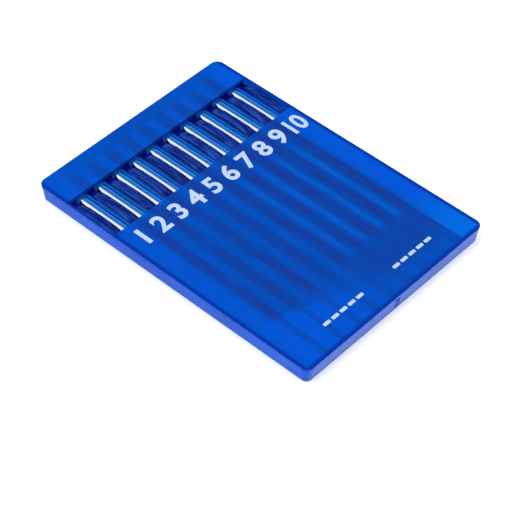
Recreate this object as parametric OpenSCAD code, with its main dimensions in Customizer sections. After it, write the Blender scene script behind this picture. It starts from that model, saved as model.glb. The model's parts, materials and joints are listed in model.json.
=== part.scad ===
// Flat magazine of ten round-shank sewing machine needles.
// A moulded tray holds each needle in its own channel, a thin cover closes the channels,
// and a window across the cover bares the shanks between arched ribs with snap nibs.
// Millimetres. X runs along the needles from butt to point, Y across them, Z up.
// The origin is the middle of the underside of the case.

/* [Needle] */
// Number of needles side by side
needle_count = 10; // [4:1:14]
// Length of a needle from butt to point
needle_l = 38.9; // [32:0.1:50]
// Diameter of the round shank
shank_d = 2; // [1.6:0.02:2.1]
// Length of the full-diameter shank
shank_l = 13.5; // [11:0.5:16]
// Length of the cone between shank and blade
cone_l = 2.6; // [1:0.1:4]
// Diameter of the blade
blade_d = 1; // [0.7:0.05:1.2]
// Chamfer round the butt
butt_chamfer = 0.35; // [0.1:0.05:0.5]
// Length of the tapering point
point_l = 3.2; // [2:0.1:4.5]
// Radius of the tip
tip_r = 0.06; // [0.03:0.01:0.12]

/* [Eye and grooves] */
// Distance from the tip to the middle of the eye
eye_from_tip = 4.6; // [4:0.1:5]
// Length of the eye along the blade
eye_l = 1.4; // [0.8:0.1:1.8]
// Width of the eye
eye_w = 0.42; // [0.25:0.01:0.45]
// Width of the long thread groove
groove_w = 0.42; // [0.2:0.01:0.48]
// Depth of the long thread groove
groove_depth = 0.3; // [0.1:0.01:0.35]
// Distance from the cone's small end to the start of the long groove
groove_start = 0.6; // [0.2:0.1:4]
// Depth of the scarf above the eye, on the side away from the long groove
scarf_depth = 0.24; // [0.1:0.01:0.3]
// Radius of the cutter that leaves the scarf
scarf_r = 6; // [4:0.5:10]
// Distance from the middle of the eye to the middle of the scarf
scarf_offset = 2.3; // [2:0.1:3]

/* [Fits] */
// Gap under a shank that lies in its channel
seat_gap = 0.03; // [0.01:0.01:0.1]
// Gap at each side of a shank in its channel
side_gap = 0.06; // [0.03:0.01:0.15]
// Gap between a shank and the cover
top_gap = 0.05; // [0.02:0.01:0.2]
// Gap between the butt and the end of the window
butt_gap = 0.2; // [0.1:0.05:1]
// Free length of channel past the points
tip_gap = 1.8; // [0.5:0.1:5]

/* [Case] */
// Distance between neighbouring needles
needle_pitch = 3.94; // [3.6:0.02:5]
// Thickness of the tray under the channels
floor_t = 0.47; // [0.35:0.01:1]
// Thickness of the cover
cover_t = 0.65; // [0.5:0.05:1.2]
// Length of the closed band behind the butts
butt_band = 6.7; // [5.5:0.1:10]
// Length of the channels' blind run under that band
blind_run = 4.2; // [2:0.1:4.5]
// Length of the solid end past the channels
end_wall = 10.4; // [3:0.1:14]
// Radius of the case's upright corners
corner_r = 1.45; // [0.8:0.05:2.5]
// How far the sides lean in from the top to the underside
draft = 0.45; // [0.1:0.05:0.6]

/* [Window] */
// Length of the window along the needles
window_l = 10.6; // [8:0.1:12]
// Width of the rim left beside the window
window_rim = 0.45; // [0.4:0.05:1.4]
// Space between an outermost rib and the side of the window
field_gap = 0.2; // [0.1:0.05:0.5]
// Space beside a shank in the window
finger_gap = 0.32; // [0.25:0.01:0.4]
// Height of the ledges beside a shank above its axis
ledge_rise = 0.35; // [0:0.05:0.45]
// How far the crests of the ribs lie below the top face
crest_below = 0.2; // [0.1:0.05:0.4]
// How far the ends of the ribs lie below the tray's top
rib_end_drop = 0.35; // [0.1:0.05:0.5]
// Radius of the shoulders of a rib
rib_shoulder_r = 0.3; // [0.1:0.05:0.4]

/* [Snap nibs] */
// Length of the nib that holds a shank down
nib_l = 5.5; // [3:0.1:7]
// How far a nib reaches in over the side of the shank
nib_reach = 0.2; // [0.1:0.01:0.22]
// Height of a nib where it meets the wall
nib_foot = 0.75; // [0.5:0.05:0.8]
// Height of a nib at its tip
nib_face = 0.15; // [0.1:0.05:0.3]
// Height of a nib's middle above the shank's axis
nib_rise = 0.73; // [0.7:0.01:0.8]
// Gap between a nib and the shank under it
nib_gap = 0.06; // [0.04:0.01:0.1]

/* [Gate mark] */
// Width of the notch left by the moulding gate in the far end
gate_w = 1.1; // [0.6:0.1:2]
// Depth of the gate notch
gate_depth = 0.2; // [0.1:0.05:0.4]
// Diameter of the gate's broken-off pip
pip_d = 0.7; // [0.3:0.1:1]

/* [Hidden] */
round_fn = 48;
arch_fn = 360;
over = 0.1;

shank_r = shank_d / 2;
blade_r = blade_d / 2;
needle_z = floor_t + seat_gap + shank_r;
channel_r = shank_r + side_gap;
channel_z = floor_t + channel_r;
tray_h = needle_z + shank_r + top_gap;
case_h = tray_h + cover_t;

channel_end = butt_band + butt_gap + needle_l + tip_gap;
case_l = channel_end + end_wall;
x_start = -case_l / 2;
needle_x = x_start + butt_band + butt_gap;
window_x = x_start + butt_band;
window_mid = window_x + window_l / 2;

slot_w = shank_d + 2 * finger_gap;
rib_w = needle_pitch - slot_w;
field_w = needle_count * needle_pitch + rib_w + 2 * field_gap;
case_w = field_w + 2 * window_rim;
rib_top = case_h - crest_below;
rib_end_z = tray_h - rib_end_drop;
rib_rise = rib_top - rib_end_z;
// The crest of a rib is an arc through its middle and both ends of the window
arch_r = (pow(window_l / 2, 2) + pow(rib_rise, 2)) / (2 * rib_rise);
nib_z = needle_z + nib_rise;

function needle_y(i) = (i - (needle_count - 1) / 2) * needle_pitch;
function two_digits(i) = str(i < 10 ? "0" : "", i);
function needle_name(i) = str("needle_", two_digits(i + 1));
// How far the drafted sides stand in at a height
function inset_at(z) = draft * (1 - z / case_h);

// Slice of the drafted, round-cornered case between two heights
module case_slice(z0, z1) {
    half_l = case_l / 2;
    half_w = case_w / 2;
    rotate([90, 0, 0])
        linear_extrude(case_w - 2 * corner_r, center = true)
            drafted_section(half_l, z0, z1);
    rotate([90, 0, 90])
        linear_extrude(case_l - 2 * corner_r, center = true)
            drafted_section(half_w, z0, z1);
    for (sx = [-1, 1], sy = [-1, 1])
        translate([sx * (half_l - corner_r), sy * (half_w - corner_r), z0])
            cylinder(
                h = z1 - z0,
                r1 = corner_r - inset_at(z0),
                r2 = corner_r - inset_at(z1),
                $fn = round_fn);
}

module drafted_section(half, z0, z1) {
    low = half - inset_at(z0);
    high = half - inset_at(z1);
    polygon([[-low, z0], [low, z0], [high, z1], [-high, z1]]);
}

// Round-bottomed channel for one needle, open at the top of the tray
module channel(from_x, to_x, half_w, side_z) {
    length = to_x - from_x;
    translate([from_x, 0, channel_z])
        rotate([0, 90, 0])
            cylinder(h = length, r = channel_r, $fn = round_fn);
    translate([from_x, -half_w, side_z])
        cube([length, 2 * half_w, case_h]);
}

// Sunken field of the window, down to the ends of the ribs
module window_field(from_z) {
    translate([window_x, -field_w / 2, from_z])
        cube([window_l, field_w, case_h]);
}

// Rim of the disc that an arched rib is sliced from: flat flanks and top, round shoulders
module rib_section() {
    inner = arch_r - rib_rise - 2 * over;
    shoulder = arch_r - rib_shoulder_r;
    flat_w = rib_w - 2 * rib_shoulder_r;
    translate([inner, -rib_w / 2])
        square([shoulder - inner, rib_w]);
    translate([inner, -flat_w / 2])
        square([arch_r - inner, flat_w]);
    for (side = [-1, 1])
        translate([shoulder, side * flat_w / 2])
            circle(r = rib_shoulder_r, $fn = round_fn);
}

// Arched rib between two slots: a slice of a round-edged disc
module rib() {
    intersection() {
        translate([window_mid, 0, rib_top - arch_r])
            rotate([90, 0, 0])
                rotate_extrude($fn = arch_fn)
                    rib_section();
        translate([window_x, -rib_w / 2, rib_end_z - over])
            cube([window_l, rib_w, rib_rise + 2 * over]);
    }
}

// Nib that the shank snaps past, on the wall of its slot
module nib() {
    tip = shank_r - nib_reach;
    wall = slot_w / 2 + over;
    difference() {
        translate([window_mid, 0, nib_z])
            rotate([90, 0, 90])
                linear_extrude(nib_l, center = true)
                    polygon([
                        [-tip, -nib_face / 2],
                        [-tip, nib_face / 2],
                        [-wall, nib_foot / 2],
                        [-wall, -nib_foot / 2 - over]]);
        translate([window_x, 0, needle_z])
            rotate([0, 90, 0])
                cylinder(h = window_l, r = shank_r + nib_gap, $fn = round_fn);
    }
}

// Notch where the moulding was broken off its sprue, in the middle of the far end
module gate_notch() {
    notch_h = tray_h - floor_t;
    translate([case_l / 2 - inset_at(tray_h / 2), 0, floor_t])
        difference() {
            translate([-gate_depth, -gate_w / 2, 0])
                cube([gate_depth + draft, gate_w, notch_h]);
            translate([-gate_depth - over, 0, notch_h / 2])
                rotate([0, 90, 0])
                    cylinder(h = gate_depth + over, d = pip_d, $fn = round_fn);
        }
}

module tray() {
    color([0.05, 0.33, 0.86, 0.55])
        union() {
            difference() {
                case_slice(0, tray_h);
                window_field(rib_end_z);
                for (i = [0 : needle_count - 1])
                    translate([0, needle_y(i), 0]) {
                        channel(window_x - blind_run, x_start + channel_end, channel_r, channel_z);
                        channel(window_x, window_x + window_l, slot_w / 2, needle_z + ledge_rise);
                    }
                gate_notch();
            }
            for (i = [0 : needle_count])
                translate([0, needle_y(i - 0.5), 0])
                    rib();
            for (i = [0 : needle_count - 1])
                translate([0, needle_y(i), 0])
                    nib();
        }
}

module cover() {
    color([0.02, 0.27, 0.82, 0.5])
        difference() {
            case_slice(tray_h, case_h);
            window_field(tray_h - over);
        }
}

// Outline of a needle turned round its axis: radius against distance from the butt.
// The point bulges a little, as a ground point does.
function needle_outline() = concat(
    [[0, 0], [shank_r - butt_chamfer, 0], [shank_r, butt_chamfer], [shank_r, shank_l],
     [blade_r, shank_l + cone_l], [blade_r, needle_l - point_l]],
    [for (t = [0.25, 0.5, 0.75, 0.95])
        [tip_r + (blade_r - tip_r) * (1 - pow(t, 1.6)), needle_l - point_l * (1 - t)]],
    [[0, needle_l]]);

// One needle along X with its butt at the origin and its long groove up
module needle_shape() {
    groove_x = shank_l + cone_l + groove_start;
    eye_x = needle_l - eye_from_tip;
    difference() {
        rotate([0, 90, 0])
            rotate_extrude($fn = round_fn)
                polygon(needle_outline());
        translate([groove_x, 0, blade_r - groove_depth + groove_w / 2])
            rotate([0, 90, 0])
                cylinder(h = eye_x - groove_x, d = groove_w, $fn = 24);
        translate([groove_x, -groove_w / 2, blade_r - groove_depth + groove_w / 2])
            cube([eye_x - groove_x, groove_w, blade_r]);
        translate([eye_x - scarf_offset, 0, -blade_r + scarf_depth - scarf_r])
            rotate([90, 0, 0])
                cylinder(h = blade_d + over, r = scarf_r, center = true, $fn = 96);
        eye(eye_x);
    }
}

// Long hole from the groove side to the scarf side
module eye(x) {
    half_run = (eye_l - eye_w) / 2;
    for (side = [-1, 1])
        translate([x + side * half_run, 0, 0])
            cylinder(h = blade_d + over, d = eye_w, center = true, $fn = 24);
    translate([x - half_run, -eye_w / 2, -(blade_d + over) / 2])
        cube([2 * half_run, eye_w, blade_d + over]);
}

module needle(i) {
    color([0.8, 0.82, 0.85])
        translate([needle_x, needle_y(i), needle_z])
            needle_shape();
}

tray();
cover();
for (i = [0 : needle_count - 1])
    needle(i);
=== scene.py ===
# %% [markdown]
# A flat blue magazine of sewing machine needles
#
# The object is a shallow case moulded in see-through blue plastic, with ten steel needles lying
# side by side in it. The solids come from CAD, and Blender gives them their looks: the tinted
# plastic, the polished shanks, a cover with softened edges and the white print on it. Each cell
# builds one thing and prints what it made.

# %% Load the solids
import json
import math
import bpy
import bmesh
from mathutils import Matrix, Vector

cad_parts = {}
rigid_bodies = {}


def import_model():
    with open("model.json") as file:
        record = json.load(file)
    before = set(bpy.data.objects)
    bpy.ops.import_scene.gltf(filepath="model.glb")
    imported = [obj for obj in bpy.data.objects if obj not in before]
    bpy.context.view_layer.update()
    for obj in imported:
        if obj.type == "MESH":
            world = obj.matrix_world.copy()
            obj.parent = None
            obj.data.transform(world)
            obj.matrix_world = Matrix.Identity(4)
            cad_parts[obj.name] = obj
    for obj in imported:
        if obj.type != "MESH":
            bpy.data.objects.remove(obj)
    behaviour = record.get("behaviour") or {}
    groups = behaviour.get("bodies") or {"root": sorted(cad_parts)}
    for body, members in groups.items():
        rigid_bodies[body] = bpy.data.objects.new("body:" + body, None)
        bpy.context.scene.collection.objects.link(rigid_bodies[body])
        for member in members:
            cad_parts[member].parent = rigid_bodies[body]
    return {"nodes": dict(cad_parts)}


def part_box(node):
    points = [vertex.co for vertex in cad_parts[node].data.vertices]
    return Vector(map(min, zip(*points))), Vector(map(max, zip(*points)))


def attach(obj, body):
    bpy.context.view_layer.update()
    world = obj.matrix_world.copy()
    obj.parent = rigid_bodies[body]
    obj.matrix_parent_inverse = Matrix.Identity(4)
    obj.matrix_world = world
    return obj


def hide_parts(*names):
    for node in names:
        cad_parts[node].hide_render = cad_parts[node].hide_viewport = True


bpy.ops.object.select_all(action="SELECT")
bpy.ops.object.delete()

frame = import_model()
bpy.ops.object.select_all(action="DESELECT")

scene = bpy.context.scene
nodes = frame["nodes"]
needle_names = sorted(name for name in nodes if name.startswith("needle_"))
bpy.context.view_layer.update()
MM = 0.001

print("needles:", len(needle_names))

# %% [markdown]
# Where things are
#
# The new pieces could be placed by numbers copied from the CAD source. They are measured from
# the solids instead, so that a new piece can't drift from the part it belongs to. The cover's
# lowest height is where the tray ends. Only the window is given by sizes of its own, counted
# from the butts of the needles and from the long sides.

# %% Measure the case
cover_low, cover_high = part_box("cover")
first_low, first_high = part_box(needle_names[0])
last_low, last_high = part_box(needle_names[-1])

top_z = cover_high.z
seam_z = cover_low.z
half_l = cover_high.x
half_w = cover_high.y
first_y = (first_high.y + first_low.y) / 2
last_y = (last_high.y + last_low.y) / 2
pitch = (last_y - first_y) / (len(needle_names) - 1)
butt_x = first_low.x
shank_z = (first_high.z + first_low.z) / 2

WINDOW_RUN = 10.6 * MM
BUTT_GAP = 0.2 * MM
WINDOW_RIM = 0.45 * MM
window_x0 = butt_x - BUTT_GAP
window_x1 = window_x0 + WINDOW_RUN
window_y = half_w - WINDOW_RIM

print("pitch of the needles in mm:", round(pitch / MM, 3))
print("window in mm:", round(window_x0 / MM, 2), "to", round(window_x1 / MM, 2))

# %% [markdown]
# The camera
#
# The camera looks down on the case from beyond its solid end, from a little over three hundred
# millimetres away. A Track To constraint would aim it in one step, but it also has a small
# roll, so it is turned about three axes in order. Its place and its lens were worked out from
# the edges of the case. A long lens keeps the far sides almost parallel.

# %% Set the camera
CAMERA_PLACE = Vector((144.923, -162.654, 220.585)) * MM
CAMERA_ELEVATION = math.radians(46.493)
CAMERA_AZIMUTH = math.radians(41.777)
CAMERA_ROLL = math.radians(1.086)
CAMERA_LENS = 135.867
CAMERA_SENSOR = 36
NEAREST_SEEN = 0.01
FARTHEST_SEEN = 20

bpy.ops.object.camera_add(location=CAMERA_PLACE)
camera = bpy.context.object
camera.name = "camera"
turn = (Matrix.Rotation(CAMERA_AZIMUTH, 3, "Z")
        @ Matrix.Rotation(math.pi / 2 - CAMERA_ELEVATION, 3, "X")
        @ Matrix.Rotation(CAMERA_ROLL, 3, "Z"))
camera.rotation_euler = turn.to_euler()
camera.data.lens = CAMERA_LENS
camera.data.sensor_width = CAMERA_SENSOR
camera.data.clip_start = NEAREST_SEEN
camera.data.clip_end = FARTHEST_SEEN
scene.camera = camera
print("camera in mm from the case:", round(camera.location.length / MM))

# %% [markdown]
# A way to make materials
#
# Each finish is a small network of nodes. In Blender's window the nodes would be added and
# joined by hand. In a script, one helper starts a material with an empty network and its
# output, and another adds a node with its settings, so that each finish below reads as a short
# recipe.


# %% Start a material
def new_material(name):
    """An empty material, with its node tree and its output node."""
    material = bpy.data.materials.new(name)
    material.use_nodes = True
    tree = material.node_tree
    tree.nodes.clear()
    return material, tree, tree.nodes.new("ShaderNodeOutputMaterial")


def add_node(tree, kind, inputs=(), **settings):
    """A node of that kind. A socket is given a value, or another socket to read from."""
    node = tree.nodes.new("ShaderNode" + kind)
    for key, value in settings.items():
        setattr(node, key, value)
    for key, value in dict(inputs).items():
        if isinstance(value, bpy.types.NodeSocket):
            tree.links.new(value, node.inputs[key])
        else:
            node.inputs[key].default_value = value
    return node


kinds = [kind for kind in dir(bpy.types) if kind.startswith("ShaderNode")]
print("kinds of node to choose from:", len(kinds))

# %% [markdown]
# Sums in a material
#
# The colours of this case depend on the place: pale over a needle, dull over a rib. They could
# be painted on a picture, but a pattern worked out from the place is sharp at any distance and
# follows the sizes of the case. Math nodes do the sums. The helpers give the commonest of them
# a short name, so that each pattern below reads as its formula. A share is a number from 0 to 1.


# %% Work out shares
def calc(tree, how, *values):
    """One sum on one or two numbers or sockets."""
    return add_node(tree, "Math", enumerate(values), operation=how).outputs[0]


def product(tree, *factors):
    """All the factors multiplied together."""
    total = factors[0]
    for factor in factors[1:]:
        total = calc(tree, "MULTIPLY", total, factor)
    return total


def highest(tree, *shares):
    """The greatest of the shares."""
    top = shares[0]
    for share in shares[1:]:
        top = calc(tree, "MAXIMUM", top, share)
    return top


def slide(tree, share, start, end):
    """A number that goes from start to end as the share goes from 0 to 1."""
    moved = add_node(tree, "MapRange", {"Value": share, "To Min": start, "To Max": end})
    return moved.outputs["Result"]


def soft_step(tree, value, low, high):
    """0 below low, 1 above high and a smooth rise between, or a fall where low is the greater."""
    step = add_node(tree, "MapRange", {"Value": value, "From Min": low, "From Max": high},
                    interpolation_type="SMOOTHSTEP")
    return step.outputs["Result"]


def stretch(tree, place, start, run):
    """1 along a stretch and 0 beyond it. The run says where its rise begins and ends and where
    its fall begins and ends, in millimetres from the start."""
    rise_from, rise_to, fall_from, fall_to = [start + at * MM for at in run]
    return product(tree, soft_step(tree, place, rise_from, rise_to),
                   soft_step(tree, place, fall_to, fall_from))


sums = bpy.types.ShaderNodeMath.bl_rna.properties["operation"].enum_items
print("sums that a Math node can do:", len(sums))


# %% Mix colours and shaders
def blend(tree, share, first, second):
    """The first colour, giving way to the second by that share."""
    return add_node(tree, "Mix", {0: share, 6: first, 7: second}, data_type="RGBA").outputs[2]


def blend_shaders(tree, share, first, second):
    """The first shader, giving way to the second by that share."""
    return add_node(tree, "MixShader", {0: share, 1: first, 2: second}).outputs[0]


blends = bpy.types.ShaderNodeMix.bl_rna.properties["blend_type"].enum_items
print("ways to blend colours, of which plain mixing is used:", len(blends))

# %% [markdown]
# A pale table
#
# The case lies on white paper. Paper with more light on it would look whiter, but that light
# would fall on the case as well. So the paper keeps its colour for the light it throws on the
# case, and only looks white to the camera, to mirrors and to clear plastic, which the Light
# Path node tells apart. Far from the case it turns to the plain white of the room, so that no
# horizon shows.

# %% Lay the table
TABLE_SIZE = 6.0
WHITE = (1, 1, 1, 1)
PAPER_WHITE = (0.86, 0.86, 0.87, 1)
PAPER_LIFT = 0.28
PAPER_FADE = (0.20, 0.90)

scene.view_settings.view_transform = "Standard"
bpy.ops.mesh.primitive_plane_add(size=TABLE_SIZE, location=(0, 0, 0))
table = bpy.context.object
table.name = "table"

paper, tree, output = new_material("white_paper")
rays = add_node(tree, "LightPath").outputs
seen = highest(tree, rays["Is Camera Ray"], rays["Is Glossy Ray"], rays["Is Transmission Ray"])
where = add_node(tree, "TexCoord").outputs["Object"]
from_case = add_node(tree, "VectorMath", {0: where}, operation="LENGTH").outputs["Value"]
far_off = soft_step(tree, from_case, *PAPER_FADE)
plain = add_node(tree, "BsdfDiffuse", {"Color": PAPER_WHITE}).outputs[0]
lift = add_node(tree, "Emission", {"Color": WHITE, "Strength": PAPER_LIFT}).outputs[0]
lifted = add_node(tree, "AddShader", {0: plain, 1: lift}).outputs[0]
backdrop = add_node(tree, "Emission", {"Color": WHITE, "Strength": 1.0}).outputs[0]
faded = blend_shaders(tree, far_off, lifted, backdrop)
tree.links.new(blend_shaders(tree, seen, plain, faded), output.inputs["Surface"])
table.data.materials.append(paper)
print("table in m:", TABLE_SIZE)

# %% [markdown]
# Soft light
#
# A polished shank is a long curved mirror that shows the room as stripes. Small lamps would
# show in it as dots, so large panels are hung instead. A pale one becomes the white line along
# each needle, and a blue one on the other side becomes the band beside that line. A bright
# strip beyond it draws the band's far edge. The flat cover must not mirror the panels, so none
# stands where the cover would throw its reflection to the camera. A broad lamp overhead lights
# the colours and is hidden from mirrors.


# %% Hang the lamps
def panel(name, toward, distance, width, height, brightness, colour=(1, 1, 1)):
    """A soft panel in that direction, turned to the case, as bright as that times white paper."""
    place = Vector(toward).normalized() * distance
    bpy.ops.object.light_add(type="AREA", location=place)
    lamp = bpy.context.object
    lamp.name = name
    lamp.data.shape = "RECTANGLE"
    lamp.data.size = width
    lamp.data.size_y = height
    lamp.data.energy = brightness * math.pi * width * height
    lamp.data.color = colour
    lamp.rotation_euler = (-place).to_track_quat("-Z", "Y").to_euler()
    lamp.visible_camera = False
    return lamp


line_panel = panel("line_panel", toward=(-0.463, -0.53, 0.714), distance=0.60,
                   width=0.36, height=0.85, brightness=1.05)
blue_panel = panel("blue_panel", toward=(-0.463, 0.595, 0.661), distance=0.60,
                   width=0.60, height=0.60, brightness=0.55, colour=(0.01, 0.28, 0.85))
streak_panel = panel("streak_panel", toward=(-0.467, 0.757, 0.457), distance=0.50,
                     width=0.45, height=0.03, brightness=1.5, colour=(0.15, 0.45, 1.0))
overhead = panel("overhead", toward=(0.1, -0.1, 1.0), distance=0.90,
                 width=1.20, height=1.20, brightness=2.0)
blue_panel.visible_diffuse = False
streak_panel.visible_diffuse = False
overhead.visible_glossy = False
print("lamps:", [lamp.name for lamp in (line_panel, blue_panel, streak_panel, overhead)])

# %% [markdown]
# The room
#
# The room is a plain pale grey for everything it lights. Walls could be built for mirrors to
# show, but a colour that only mirrors see is simpler. Theirs is a dim blue, because the gloss of
# the cover would wash out its deep colour if it mirrored a pale room.

# %% Fill the room
ROOM_LIGHT = (0.9, 0.94, 1.0, 1)
ROOM_STRENGTH = 0.35
ROOM_MIRRORED = (0.01, 0.07, 0.30, 1)

world = scene.world or bpy.data.worlds.new("room")
scene.world = world
world.use_nodes = True
tree = world.node_tree
tree.nodes.clear()
rays = add_node(tree, "LightPath").outputs
light, mirrored, backdrop = [
    add_node(tree, "Background", {"Color": colour, "Strength": strength}).outputs[0]
    for colour, strength in ((ROOM_LIGHT, ROOM_STRENGTH), (ROOM_MIRRORED, 1.0), (WHITE, 1.0))]
unseen = blend_shaders(tree, rays["Is Glossy Ray"], light, mirrored)
room = blend_shaders(tree, rays["Is Camera Ray"], unseen, backdrop)
add_node(tree, "OutputWorld", {"Surface": room})
print("room light:", ROOM_LIGHT[:3], "at", ROOM_STRENGTH)

# %% [markdown]
# Working on a mesh
#
# A new piece is shaped in edit mode, where each tool acts on what is selected. With no window to
# click in, edges and faces are picked in code by their place. A finished piece has its faces
# turned outwards, is shaded smooth except at sharp angles, and is attached to its body.


# %% Pick faces and edges by their place
SMOOTH_BELOW = 30


def edit(piece):
    """Select one piece alone and go into edit mode."""
    bpy.ops.object.select_all(action="DESELECT")
    piece.select_set(True)
    bpy.context.view_layer.objects.active = piece
    bpy.ops.object.mode_set(mode="EDIT")


def pick(piece, kind, test):
    """In edit mode, select just the edges or faces whose corners pass the test."""
    bpy.ops.mesh.select_mode(type={"edges": "EDGE", "faces": "FACE"}[kind])
    bpy.ops.mesh.select_all(action="DESELECT")
    shape = bmesh.from_edit_mesh(piece.data)
    chosen = [part for part in getattr(shape, kind)
              if test([corner.co for corner in part.verts])]
    for part in chosen:
        part.select_set(True)
    bmesh.update_edit_mesh(piece.data)
    return len(chosen)


def finish_piece(piece, material, angle=SMOOTH_BELOW):
    """Leave edit mode, point the faces outwards, shade, dress and hand the piece over."""
    bpy.ops.mesh.select_all(action="SELECT")
    bpy.ops.mesh.normals_make_consistent(inside=False)
    bpy.ops.object.mode_set(mode="OBJECT")
    bpy.ops.object.shade_smooth_by_angle(angle=math.radians(angle))
    piece.data.materials.clear()
    piece.data.materials.append(material)
    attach(piece, "root")


print("edges are shaded smooth below an angle of:", SMOOTH_BELOW)

# %% [markdown]
# The cover
#
# On the real case the cover is a thin moulded plate closed over the tray. CAD has its shape
# with sharp edges, which never catch light, and its loose triangles take no clean bevel. So the
# plate is modelled again. It starts as a plane whose corners are beveled, is extruded down to
# its thickness, and its lower side is scaled in for the lean that lets a moulding leave its
# mould. It floats a hair above the tray, because two see-through surfaces in one plane confuse
# the light, and it ends a hair lower than the solid, to leave room for the ink.

# %% Model the cover
CORNER_R = 1.45 * MM
CORNER_STEPS = 12
SIDE_LEAN = 0.45 * MM
INK_T = 0.012 * MM
PLATE_LIFT = 0.005 * MM

plate_top = top_z - INK_T
plate_low = seam_z + PLATE_LIFT
plate_t = plate_top - plate_low
lean_low = SIDE_LEAN * (1 - plate_low / top_z)

bpy.ops.mesh.primitive_plane_add(size=1, location=(0, 0, plate_top))
plate = bpy.context.object
plate.name = "cover_plate"
plate.scale = (2 * half_l, 2 * half_w, 1)
bpy.ops.object.transform_apply(location=True, rotation=True, scale=True)
edit(plate)
bpy.ops.mesh.select_mode(type="VERT")
bpy.ops.mesh.select_all(action="SELECT")
bpy.ops.mesh.bevel(offset=CORNER_R, segments=CORNER_STEPS, affect="VERTICES")
bpy.ops.mesh.select_all(action="SELECT")
bpy.ops.mesh.extrude_region_move(TRANSFORM_OT_translate={"value": (0, 0, -plate_t)})
bpy.ops.transform.resize(value=((half_l - lean_low) / half_l, (half_w - lean_low) / half_w, 1))
print("plate in mm:", round(plate_t / MM, 3), "thick, sides lean", round(lean_low / MM, 3))

# %% [markdown]
# The window
#
# The window is one opening across the cover, where the shanks show bare. A Boolean with a box
# could cut it. Here four bisections mark its sides on the plate, its upper and lower faces are
# deleted, and the two rims that are left are bridged. That needs no second object, and it
# leaves clean walls with no stray edges.

# %% Cut the window through the plate
HAIR = 0.01 * MM


def in_window(points):
    """All inside the window, or on its edge."""
    return all(window_x0 - HAIR < p.x < window_x1 + HAIR and abs(p.y) < window_y + HAIR
               for p in points)


def on_level(points, level):
    """All at that height."""
    return all(abs(p.z - level) < HAIR for p in points)


def on_a_face(points):
    """All on the plate's upper face, or all on its lower one."""
    return on_level(points, plate_top) or on_level(points, plate_low)


def on_window_rim(points):
    """Along the edge of the window."""
    middle = sum(points, Vector()) / len(points)
    on_side = abs(abs(middle.y) - window_y) < HAIR
    on_end = min(abs(middle.x - window_x0), abs(middle.x - window_x1)) < HAIR
    return in_window(points) and (on_side or on_end)


for place, facing in (((window_x0, 0, 0), (1, 0, 0)), ((window_x1, 0, 0), (1, 0, 0)),
                      ((0, -window_y, 0), (0, 1, 0)), ((0, window_y, 0), (0, 1, 0))):
    bpy.ops.mesh.select_all(action="SELECT")
    bpy.ops.mesh.bisect(plane_co=place, plane_no=facing)
holes = pick(plate, "faces", lambda points: in_window(points) and on_a_face(points))
bpy.ops.mesh.delete(type="FACE")
rims = pick(plate, "edges", lambda points: on_window_rim(points) and on_a_face(points))
bpy.ops.mesh.bridge_edge_loops()
print("window faces taken out:", holes, "rim edges bridged:", rims)

# %% [markdown]
# Soft rims
#
# A moulded rim is never quite sharp, and it catches a fine line of light. A Bevel modifier
# would round every sharp edge. Only the upper rims show, so only they are selected, by their
# angle and their height, and beveled. A bevel also bends the shading of the flat faces beside
# it, which the Weighted Normal modifier makes straight again.

# %% Round the upper rims
RIM_ROUND = 0.07 * MM
RIM_STEPS = 3
RIM_ANGLE = math.radians(40)
COVER_SMOOTH_BELOW = 35

bpy.ops.mesh.select_all(action="DESELECT")
bpy.ops.mesh.edges_select_sharp(sharpness=RIM_ANGLE)
shape = bmesh.from_edit_mesh(plate.data)
for edge in shape.edges:
    if edge.select and not on_level([corner.co for corner in edge.verts], plate_top):
        edge.select_set(False)
bmesh.update_edit_mesh(plate.data)
bpy.ops.mesh.bevel(offset=RIM_ROUND, segments=RIM_STEPS, affect="EDGES")

frosted_blue, cover_tree, cover_output = new_material("frosted_blue")
finish_piece(plate, frosted_blue, angle=COVER_SMOOTH_BELOW)
bpy.ops.object.modifier_add(type="WEIGHTED_NORMAL")
plate.modifiers[-1].keep_sharp = True
bpy.ops.object.modifier_apply(modifier=plate.modifiers[-1].name)
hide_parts("cover")
print("faces of the plate:", len(plate.data.polygons))

# %% [markdown]
# Tinted plastic
#
# Both mouldings are a blue see-through plastic, but their skins differ. The tray is polished
# and clear, so its wells look deep. The cover is a little milky: part of the light passes
# through it, and part is thrown back from inside. A volume in each moulding would do that as
# nature does, but it renders slowly, so the shader shares its light between transmission and
# plain diffuse colour. A fine noise roughens the gloss and ripples the surface the way a
# moulding's skin does.


# %% Mix the plastic
GRAIN_SPAN = (0.3, 0.7)
PLASTIC_IOR = 1.5
GLOSS_TINT = (0.25, 0.42, 1.0, 1)
RIPPLE_STRENGTH = 0.1
RIPPLE_HEIGHT = 0.02 * MM


def place_in(tree):
    """Where a point is on the part: as a vector, and then along, across and up."""
    where = add_node(tree, "TexCoord").outputs["Object"]
    axes = add_node(tree, "SeparateXYZ", {0: where}).outputs
    return where, axes["X"], axes["Y"], axes["Z"]


def noise(tree, where, scale, detail=2.0, roughness=0.5):
    """A noise with about that many specks to the metre."""
    specks = add_node(tree, "TexNoise", {"Vector": where, "Scale": scale, "Detail": detail,
                                         "Roughness": roughness})
    return specks.outputs["Fac"]


def rough_by(tree, grain, finest, coarsest):
    """A roughness between those two that follows the grain."""
    gloss = add_node(tree, "MapRange", {"Value": grain, "From Min": GRAIN_SPAN[0],
                                        "From Max": GRAIN_SPAN[1], "To Min": finest,
                                        "To Max": coarsest})
    return gloss.outputs["Result"]


def ripple_by(tree, grain, strength, height):
    """A surface that ripples with the grain."""
    ripple = add_node(tree, "Bump", {"Height": grain, "Strength": strength, "Distance": height})
    return ripple.outputs["Normal"]


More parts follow.
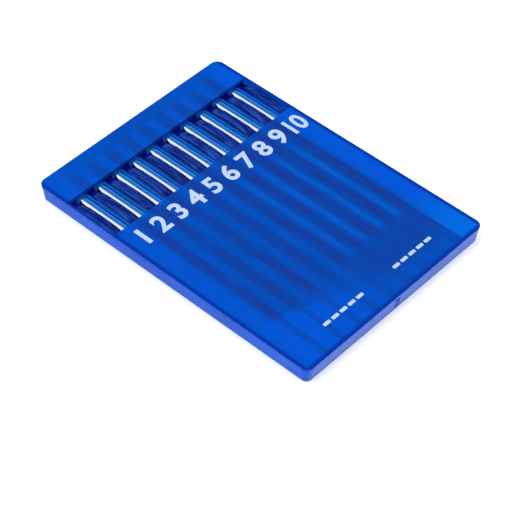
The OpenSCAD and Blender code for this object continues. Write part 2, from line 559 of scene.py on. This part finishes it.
def plastic_skin(tree, output, tint, see_through, shine, grain, matt):
    """Blue plastic of that tint, with the grain in its gloss and on its surface."""
    ripple = ripple_by(tree, grain, RIPPLE_STRENGTH, RIPPLE_HEIGHT)
    plastic = add_node(tree, "BsdfPrincipled", {"Base Color": tint,
                                                "Roughness": rough_by(tree, grain, *matt),
                                                "Normal": ripple,
                                                "Specular IOR Level": shine,
                                                "Specular Tint": GLOSS_TINT,
                                                "Transmission Weight": see_through,
                                                "IOR": PLASTIC_IOR})
    tree.links.new(plastic.outputs[0], output.inputs["Surface"])


print("index of refraction of the plastic:", PLASTIC_IOR)

# %% [markdown]
# Uneven colour
#
# The tint of the plastic changes from place to place, and slow clouds of noise do that. A fine
# noise drawn out along the needles gives fine lines along them, which streak the painted shade
# and painted reflections on the ribs and the painted bands of the cover. The painted bands of
# shade over needles and ribs could be made by cutting the meshes apart and giving each strip its
# own material. A cosine of the place across the case is simpler, and it stays in step with the
# needles.


# %% Make clouds, threads and waves
CLOUD_SPAN = (0.35, 0.65)
THREAD_SPAN = (0.38, 0.66)
THREAD_STRETCH = (0.12, 1.0, 1.0)
THREAD_DETAIL = 1.0
FINE_LINES = 1700.0


def clouds(tree, where, scale):
    """A slow noise spread over 0 to 1."""
    return soft_step(tree, noise(tree, where, scale), *CLOUD_SPAN)


def threads(tree, where):
    """A fine noise drawn out along the needles, spread over 0 to 1."""
    drawn = add_node(tree, "Mapping", {"Vector": where, "Scale": THREAD_STRETCH})
    fine = noise(tree, drawn.outputs["Vector"], FINE_LINES, detail=THREAD_DETAIL)
    return soft_step(tree, fine, *THREAD_SPAN)


def over_ribs(tree, across, shift):
    """A wave across the case: 1 over each rib and 0 over each needle."""
    from_needle = calc(tree, "SUBTRACT", across, first_y + shift)
    wave = calc(tree, "COSINE", product(tree, from_needle, 2 * math.pi / pitch))
    return calc(tree, "SUBTRACT", 0.5, product(tree, wave, 0.5))


print("specks to the metre:", round(FINE_LINES), "across the needles,",
      round(FINE_LINES * THREAD_STRETCH[0]), "along them")

# %% [markdown]
# Glowing walls
#
# Light that enters the case gathers in its outer walls and makes them glow. That glow is painted
# in as a paler tint of their skin, which is also milkier than the plastic inside. They also
# mirror less than the rest, because they would show the pale paper beside them. The tray and the
# cover are one wall from outside, so one helper finds that skin on both, by the distance from the
# middle of the case.


# %% Find the outer walls
# The walls' own blue, painted paler with the glow of the light that gathers in them.
WALL_GLOW = (0.001, 0.105, 0.80, 1)
WALL_GLOW_PALE = (0.010, 0.150, 0.92, 1)
OUTSIDE_SKIN = 0.7 * MM
OUTSIDE_FADE = 0.1 * MM
WALL_CLOUDS = 70.0
SHINE = 0.5
SIDE_SHINE = 0.01
END_SHINE = 0.15


def outer_walls(tree, along, across):
    """1 in the skin of the four outer walls and 0 inside, and the shine that goes with it."""
    at_end, at_side = [soft_step(tree, calc(tree, "ABSOLUTE", place), half - OUTSIDE_SKIN,
                                 half - OUTSIDE_SKIN + OUTSIDE_FADE)
                       for place, half in ((along, half_l), (across, half_w))]
    lost = highest(tree, product(tree, at_end, SHINE - END_SHINE),
                   product(tree, at_side, SHINE - SIDE_SHINE))
    return highest(tree, at_end, at_side), calc(tree, "SUBTRACT", SHINE, lost)


def painted_wall_glow(tree, where):
    """The cloudy blue of the outer walls, painted paler as their glow."""
    return blend(tree, clouds(tree, where, WALL_CLOUDS), WALL_GLOW, WALL_GLOW_PALE)


print("glowing skin in mm:", round(OUTSIDE_SKIN / MM, 2))

# %% [markdown]
# Wells and ribs
#
# In the window the tray shows deep blue wells under the shanks, and ribs between them painted
# darker as shade. The ribs are streaked with fine pale lines, painted in for the reflections on
# their rounded tops. They are one moulding, so they are one mesh with one material, and the wave
# across the case tells the ribs from the wells. The colour of the ribs starts a little above the
# floor.

# %% Tint the wells and ribs
WELL_DEEP = (0.001, 0.050, 0.42, 1)
WELL_CLEAR = (0.001, 0.090, 0.55, 1)
WELL_CLOUDS = 110.0
# The ribs' painted shade, and the pale lines of painted reflection streaked through it.
RIB_SHADE = (0.001, 0.005, 0.16, 1)
RIB_GLINT = (0.014, 0.075, 0.60, 1)
RIB_SPAN = (0.45, 0.8)
FLOOR_Z = 0.5 * MM
FLOOR_FADE = 0.3 * MM

clear_blue, tree, output = new_material("clear_blue")
where, along, across, up = place_in(tree)
rib = over_ribs(tree, across, 0.0)
above_floor = soft_step(tree, up, FLOOR_Z, FLOOR_Z + FLOOR_FADE)
well_tint = blend(tree, clouds(tree, where, WELL_CLOUDS), WELL_DEEP, WELL_CLEAR)
rib_shade_and_glints = blend(tree, threads(tree, where), RIB_SHADE, RIB_GLINT)
rib_share = product(tree, soft_step(tree, rib, *RIB_SPAN), above_floor)
wells_and_rib_shade = blend(tree, rib_share, well_tint, rib_shade_and_glints)
print("nodes that tint the wells and ribs:", len(tree.nodes))

# %% [markdown]
# Shade at the ends of the ribs
#
# Near both ends of the window the ribs run under the cover and are darkest. The cover throws a
# real shadow there, but see-through plastic lets most of the light pass, so a dark tint helps
# it. Each end has a stretch along the needles where the tint fades in and out.

# %% Darken the ends of the ribs
SHADE_TINT = (0.001, 0.001, 0.13, 1)
SHADE_SPAN = (0.35, 0.6)
BUTT_SHADE = (-1.2, -0.6, 1.2, 1.9)
EDGE_SHADE = (-1.8, -0.4, 0.5, 1.0)
EDGE_SHADE_SHARE = 0.7

near_butts = stretch(tree, along, window_x0, BUTT_SHADE)
near_edge = stretch(tree, along, window_x1, EDGE_SHADE)
near_ends = highest(tree, near_butts, product(tree, near_edge, EDGE_SHADE_SHARE))
shade = product(tree, near_ends, above_floor, soft_step(tree, rib, *SHADE_SPAN))
shaded = blend(tree, shade, wells_and_rib_shade, SHADE_TINT)
print("shade in mm past the window's ends:", -BUTT_SHADE[0], "and", EDGE_SHADE[-1])

# %% [markdown]
# Shining ledges
#
# Narrow ledges run along both sides of each shank. The one beyond the shank, as the camera
# sees it, catches light that has passed through the plastic and shines a paler blue. A lamp
# inside the case could light it, but it would light the shank too, so the ledge gets a paler
# tint. The place across the case is counted from the nearest needle, and the glow stops just
# above the ledge.

# %% Light the ledges
GLOW_TINT = (0.002, 0.190, 0.85, 1)
GLOW_ACROSS = (0.60, 0.70, 1.25, 1.45)
LEDGE_RISE = 0.35 * MM
GLOW_STOPS = 0.15 * MM
GLOW_ENDS = 0.30 * MM

ledge_z = shank_z + LEDGE_RISE
past_middle = calc(tree, "SUBTRACT", across, first_y - pitch / 2)
beside = calc(tree, "SUBTRACT", calc(tree, "FLOORED_MODULO", past_middle, pitch), pitch / 2)
by_ledge = soft_step(tree, up, ledge_z + GLOW_ENDS, ledge_z + GLOW_STOPS)
glow = product(tree, stretch(tree, beside, 0.0, GLOW_ACROSS), above_floor, by_ledge)
inside_tint = blend(tree, glow, shaded, GLOW_TINT)
print("ledges shine up to a height in mm of", round((ledge_z + GLOW_STOPS) / MM, 2))

# %% [markdown]
# The tray's own skin
#
# The tray is the clear part of the case: most of the light goes through it. A tint alone
# hardly shows on clear plastic, which shows what lies behind it, so the glowing walls, the
# shaded ends of the ribs and the ledges are made milkier, and the wells stay clear.

# %% Dress the tray
TRAY_CLEAR = 0.88
OUTSIDE_MILK = 0.5
INSIDE_MILK = 0.6
TRAY_MATT = (0.07, 0.13)
TRAY_GRAIN = 900.0

outside, shine = outer_walls(tree, along, across)
# The outer walls take their painted glow.
tray_tint = blend(tree, outside, inside_tint, painted_wall_glow(tree, where))
milk = highest(tree, product(tree, outside, OUTSIDE_MILK),
               product(tree, highest(tree, shade, glow), INSIDE_MILK))
tray_clear = calc(tree, "SUBTRACT", TRAY_CLEAR, milk)
plastic_skin(tree, output, tray_tint, tray_clear, shine, noise(tree, where, TRAY_GRAIN),
             TRAY_MATT)
nodes["tray"].material_slots[0].material = clear_blue
print("nodes in the tray's plastic:", len(tree.nodes))

# %% [markdown]
# Bands in the cover
#
# The needles and the ribs between them shade the milky plastic over them. Seen from above, the
# cover shows one pale band over each needle and one dull band over each rib. In the real plastic
# they come from light scattered many times, which would need a volume. Here they are painted
# shade, a wave of the place across the case. They are strongest between the window and the ends
# of the channels, and weaker beyond both. Past the channels, one half of the cover takes the dull
# shade all over.

# %% Find the dull bands
BAND_SHIFT = -0.25 * MM
DULL_SPAN = (0.05, 0.8)
HALF_FADE = 4.0 * MM
BAND_WEIGHT = (0.82, 0.95)
SIDE_FROM = 16.2 * MM
SIDE_TO = 18.0 * MM
BLIND_X = 2.7 * MM - half_l
BLIND_FADE = 0.4 * MM
WINDOW_FADE = 1.0 * MM
END_BAND_SHARE = 0.5
BAND_END = 19.5 * MM
BAND_END_FADE = 2.5 * MM
FAR_END_SHARE = 0.35
DULL_HALF_RUN = (16.5, 19.5, 23.0, 28.0)
DULL_HALF_SHARE = 0.65

tree = cover_tree
where, along, across, up = place_in(tree)
off_middle = calc(tree, "ABSOLUTE", across)
wave = over_ribs(tree, across, BAND_SHIFT)
dull = soft_step(tree, wave, *DULL_SPAN)
far_half = soft_step(tree, across, -HALF_FADE, HALF_FADE)
side = soft_step(tree, off_middle, SIDE_FROM, SIDE_TO)
inner = calc(tree, "SUBTRACT", 1.0, side)

blind_run = soft_step(tree, along, BLIND_X - BLIND_FADE, BLIND_X + BLIND_FADE)
past_window = soft_step(tree, along, window_x0, window_x1 - WINDOW_FADE)
start = highest(tree, past_window, product(tree, blind_run, END_BAND_SHARE))
stop = highest(tree, FAR_END_SHARE,
               soft_step(tree, along, BAND_END + BAND_END_FADE, BAND_END - BAND_END_FADE))
banded = product(tree, dull, slide(tree, far_half, *BAND_WEIGHT), start, stop)
# Painted shade over one half of the cover, past the ends of the channels.
dull_half = product(tree, stretch(tree, along, 0.0, DULL_HALF_RUN), far_half, DULL_HALF_SHARE)
dull_share = product(tree, highest(tree, banded, dull_half), inner)
print("bands across the cover in mm:", round(pitch / MM, 2))

# %% [markdown]
# Light through the sides
#
# Light comes in through the side faces, and the cover is paler where it does: along both long
# sides, at the far end of one half and in patches behind the butts. Brighter lamps from the
# side would give that only if the plastic scattered their light, so it is tinted in. The front
# of the pale far end lies aslant, and the middle of each rib breaks through it. The outermost
# rims are darker again.

# %% Find the pale sides and the dark rims
NEAR_SIDE_SHARE = 0.55
FRONT_LEAN = 0.33
FRONT_FROM = 23.2 * MM
FRONT_TO = 24.4 * MM
FRONT_ACROSS = (6.0 * MM, -14.0 * MM)
FRONT_SHARE = (0.85, 0.20)
RIB_MIDDLE_SPAN = (0.7, 0.95)
PATCH_SHARE = 0.45
RIM_FROM = 1.0 * MM
RIM_TO = 0.4 * MM

far_side = highest(tree, soft_step(tree, across, -SIDE_TO, SIDE_TO), NEAR_SIDE_SHARE)
leaning = calc(tree, "SUBTRACT", along, product(tree, across, FRONT_LEAN))
rib_middle = soft_step(tree, wave, *RIB_MIDDLE_SPAN)
far_end = product(tree, soft_step(tree, leaning, FRONT_FROM, FRONT_TO),
                  soft_step(tree, across, *FRONT_ACROSS), slide(tree, rib_middle, *FRONT_SHARE))
behind_butts = calc(tree, "SUBTRACT", blind_run, past_window)
patches = product(tree, behind_butts, slide(tree, dull, PATCH_SHARE, 0.0))
light_in = highest(tree, product(tree, side, far_side), far_end, patches)
rim = highest(tree, *[soft_step(tree, place, half - RIM_FROM, half - RIM_TO)
                      for place, half in ((off_middle, half_w), (along, half_l))])
print("dark rims in mm from the edge:", round(RIM_TO / MM, 2), "to", round(RIM_FROM / MM, 2))

# %% [markdown]
# Threads in the bands
#
# Plain bands would look drawn with a ruler. On the real cover they waver: the painted shade of
# the dull bands and the painted light of the pale ones run into each other in threads, and the
# dull bands turn a little purple in places. One drawn-out noise does all of that, so that the
# threads of one effect meet those of the next, and a slow noise clouds the whole.

# %% Colour the bands
PALE_BAND = (0.001, 0.130, 0.71, 1)
PALE_SIDE = (0.001, 0.155, 0.92, 1)
DULL_BAND = (0.008, 0.072, 0.44, 1)
DULL_PURPLE = (0.017, 0.060, 0.41, 1)
COVER_CLOUDS = 90.0
CLOUD_SHARE = 0.2
GLEAM_SHARE = 0.3
UNEVEN_SHARE = (0.65, 1.05)

flow = threads(tree, where)
cloudy = product(tree, clouds(tree, where, COVER_CLOUDS), CLOUD_SHARE)
base = blend(tree, cloudy, PALE_BAND, DULL_BAND)
# The pale threads are painted side light, strongest where the band is least shaded.
gleam = product(tree, flow, slide(tree, dull, GLEAM_SHARE, 0.0))
lively = blend(tree, gleam, base, PALE_SIDE)
dull_blue = blend(tree, flow, DULL_BAND, DULL_PURPLE)
uneven = product(tree, dull_share, slide(tree, flow, *UNEVEN_SHARE))
striped = blend(tree, uneven, lively, dull_blue)
print("nodes in the bands so far:", len(tree.nodes))

# %% [markdown]
# A bright line and a pale corner
#
# On one half of the cover a bright line runs down the middle of each pale band, where the
# polished shank below throws light back up. The far corner of that half is the palest of all.
# Lamps could do both, if they stood just where the real light did. They don't, so the line and
# the corner are tinted in, over the bands and under the rims.

# %% Draw the line, the corner and the rims
LINE_TINT = (0.003, 0.185, 0.82, 1)
LINE_SPAN = (0.16, 0.02)
LINE_RUN = (-6.0, -2.0, 17.0, 18.0)
LINE_SHARE = (0.35, 1.0)
PALE_CORNER = (0.001, 0.24, 1.0, 1)
CORNER_ALONG = (14.0 * MM, 27.0 * MM)
CORNER_ACROSS = (16.1 * MM, 16.6 * MM)
RIM_TINT = (0.001, 0.060, 0.52, 1)

line = product(tree, soft_step(tree, wave, *LINE_SPAN), far_half, inner,
               stretch(tree, along, 0.0, LINE_RUN), slide(tree, flow, *LINE_SHARE))
corner = product(tree, soft_step(tree, along, *CORNER_ALONG),
                 soft_step(tree, across, *CORNER_ACROSS))
lined = blend(tree, line, striped, LINE_TINT)
sided = blend(tree, light_in, lined, PALE_SIDE)
cornered = blend(tree, corner, sided, PALE_CORNER)
rimmed = blend(tree, rim, cornered, RIM_TINT)
print("bright lines in mm:", LINE_RUN[0], "to", LINE_RUN[-1])

# %% [markdown]
# The cover's own skin
#
# From the side the cover carries on the wall of the tray, so below its rounded rim it takes the
# walls' painted glow, milk and low shine. Above that it keeps its own, which is milkier and more
# matt than the tray's.

# %% Dress the cover
COVER_CLEAR = (0.50, 0.15)
COVER_MATT = (0.12, 0.20)
COVER_GRAIN = 500.0

below_rim = soft_step(tree, up, plate_top - RIM_ROUND, plate_top - 2 * RIM_ROUND)
wall, wall_shine = outer_walls(tree, along, across)
outside = product(tree, wall, below_rim)
# Below the rim the cover takes the walls' painted glow.
cover_tint = blend(tree, outside, rimmed, painted_wall_glow(tree, where))
plastic_skin(tree, cover_output, cover_tint, slide(tree, outside, *COVER_CLEAR),
             slide(tree, below_rim, SHINE, wall_shine), noise(tree, where, COVER_GRAIN),
             COVER_MATT)
print("nodes in the cover's plastic:", len(tree.nodes))

# %% [markdown]
# Polished steel
#
# The shanks are centreless ground: the wheel leaves rings far too fine to see one by one, which
# stretch each highlight across the needle and break it into fine ticks. The Anisotropic setting
# could stretch the highlights, but it would leave out the ticks. A noise squeezed along the
# needle draws the rings, and drives both the bump and the roughness.

# %% Polish the steel
RING_STRETCH = (4.0, 0.25, 0.25)
RING_SPECKS = 900.0
RING_DETAIL = 3.0
RING_ROUGHNESS = 0.65
RING_BITE = 0.5
RING_HEIGHT = 0.01 * MM
STEEL_DARK = (0.66, 0.68, 0.71, 1)
STEEL_PALE = (0.86, 0.87, 0.89, 1)
STEEL_MATT = (0.06, 0.16)

steel, tree, output = new_material("ground_steel")
where = add_node(tree, "TexCoord").outputs["Object"]
squeezed = add_node(tree, "Mapping", {"Vector": where, "Scale": RING_STRETCH})
rings = noise(tree, squeezed.outputs["Vector"], RING_SPECKS, RING_DETAIL, RING_ROUGHNESS)
bite = ripple_by(tree, rings, RING_BITE, RING_HEIGHT)
tone = add_node(tree, "ValToRGB", {"Fac": rings})
tone.color_ramp.elements[0].color = STEEL_DARK
tone.color_ramp.elements[1].color = STEEL_PALE
metal = add_node(tree, "BsdfPrincipled", {"Base Color": tone.outputs["Color"],
                                          "Metallic": 1.0,
                                          "Roughness": rough_by(tree, rings, *STEEL_MATT),
                                          "Normal": bite})
tree.links.new(metal.outputs[0], output.inputs["Surface"])
for name in needle_names:
    nodes[name].material_slots[0].material = steel
print("steel on:", len(needle_names), "needles")

# %% [markdown]
# White ink
#
# The cover is screen printed in white across the needles. Thin ink lets a little blue through,
# and more at pinholes. A see-through ink would show the plastic itself, but two clear layers a
# hair apart render badly, so the ink is solid, and a noise speckles it between two pale blues.

# %% Mix the ink
INK_SPECKS = 1500.0
INK_SPAN = (0.25, 0.5)
INK_THIN = (0.42, 0.54, 0.76, 1)
INK_FULL = (0.51, 0.62, 0.84, 1)
INK_ROUGHNESS = 0.45

ink, tree, output = new_material("white_ink")
where = add_node(tree, "TexCoord").outputs["Object"]
speckled = add_node(tree, "ValToRGB", {"Fac": noise(tree, where, INK_SPECKS)})
for mark, at, colour in zip(speckled.color_ramp.elements, INK_SPAN, (INK_THIN, INK_FULL)):
    mark.position = at
    mark.color = colour
paint = add_node(tree, "BsdfPrincipled", {"Base Color": speckled.outputs["Color"],
                                          "Roughness": INK_ROUGHNESS})
tree.links.new(paint.outputs[0], output.inputs["Surface"])
print("specks of ink to the metre:", round(INK_SPECKS))

# %% [markdown]
# White numbers
#
# This case carries plain numbers, one in line with each needle. They could be a picture on the
# plate, but real shapes stay crisp. Each number is a text object made a mesh. A bevel on its
# outline makes its strokes bold, and it is squashed to a hair's thickness of ink standing on
# the plate. The widest number is set narrower, so that it keeps to its own needle.

# %% Print the numbers
NUMBER_X = 20.95 * MM - half_l
NUMBER_SIZE = 5.0 * MM
NUMBER_BOLD = 0.14 * MM
NUMBER_GAP = 0.4 * MM

for index in range(len(needle_names)):
    bpy.ops.object.select_all(action="DESELECT")
    bpy.ops.object.text_add(location=(0, 0, 0))
    figure = bpy.context.object
    figure.name = "number_%02d" % (index + 1)
    figure.data.body = str(index + 1)
    figure.data.align_x = "CENTER"
    figure.data.align_y = "CENTER"
    figure.data.size = NUMBER_SIZE
    figure.data.bevel_depth = NUMBER_BOLD
    figure.data.bevel_resolution = 0
    bpy.ops.object.convert(target="MESH")
    figure = bpy.context.object
    squeeze = min(1, (pitch - NUMBER_GAP) / figure.dimensions.x)
    figure.scale = (squeeze, 1, INK_T / (2 * NUMBER_BOLD))
    figure.rotation_euler = (0, 0, math.pi / 2)
    figure.location = (NUMBER_X, first_y + index * pitch, top_z - INK_T / 2)
    bpy.ops.object.transform_apply(location=True, rotation=True, scale=True)
    edit(figure)
    finish_piece(figure, ink)
print("numbers printed:", len(needle_names))

# %% [markdown]
# Short bars
#
# Two rows of short printed bars stand near the far end. One bar is a flat block with its four
# corners rounded. An Array modifier could repeat it, but it would make one piece of a row. So
# the bar is modelled once and copied, each copy with a mesh of its own, moved to its place
# inside its mesh.

# %% Print the bars
BAR_L = 1.45 * MM
BAR_W = 0.62 * MM
BAR_CORNER = 0.15 * MM
BAR_CORNER_STEPS = 4
BAR_GAP = 0.45 * MM
BAR_X = 53.6 * MM - half_l
BAR_ROWS = (8.6 * MM - half_w, 24.9 * MM - half_w)
BARS_IN_ROW = 5

bpy.ops.object.select_all(action="DESELECT")
bpy.ops.mesh.primitive_cube_add(size=1, location=(0, 0, 0))
bar = bpy.context.object
bar.name = "print_bar_1"
bar.scale = (BAR_W, BAR_L, INK_T)
bpy.ops.object.transform_apply(location=True, rotation=True, scale=True)
edit(bar)
pick(bar, "edges", lambda points: abs(points[0].z - points[1].z) > INK_T / 2)
bpy.ops.mesh.bevel(offset=BAR_CORNER, segments=BAR_CORNER_STEPS, affect="EDGES")
bpy.ops.object.mode_set(mode="OBJECT")

places = [(BAR_X, row + BAR_L / 2 + step * (BAR_L + BAR_GAP))
          for row in BAR_ROWS for step in range(BARS_IN_ROW)]
bars = [bar]
for number in range(2, len(places) + 1):
    twin = bar.copy()
    twin.data = bar.data.copy()
    twin.name = "print_bar_%d" % number
    scene.collection.objects.link(twin)
    bars.append(twin)
for piece, (x, y) in zip(bars, places):
    bpy.ops.object.select_all(action="DESELECT")
    piece.select_set(True)
    bpy.context.view_layer.objects.active = piece
    piece.location = (x, y, top_z - INK_T / 2)
    bpy.ops.object.transform_apply(location=True, rotation=True, scale=True)
    edit(piece)
    finish_piece(piece, ink)
print("bars printed:", len(bars))

# %% [markdown]
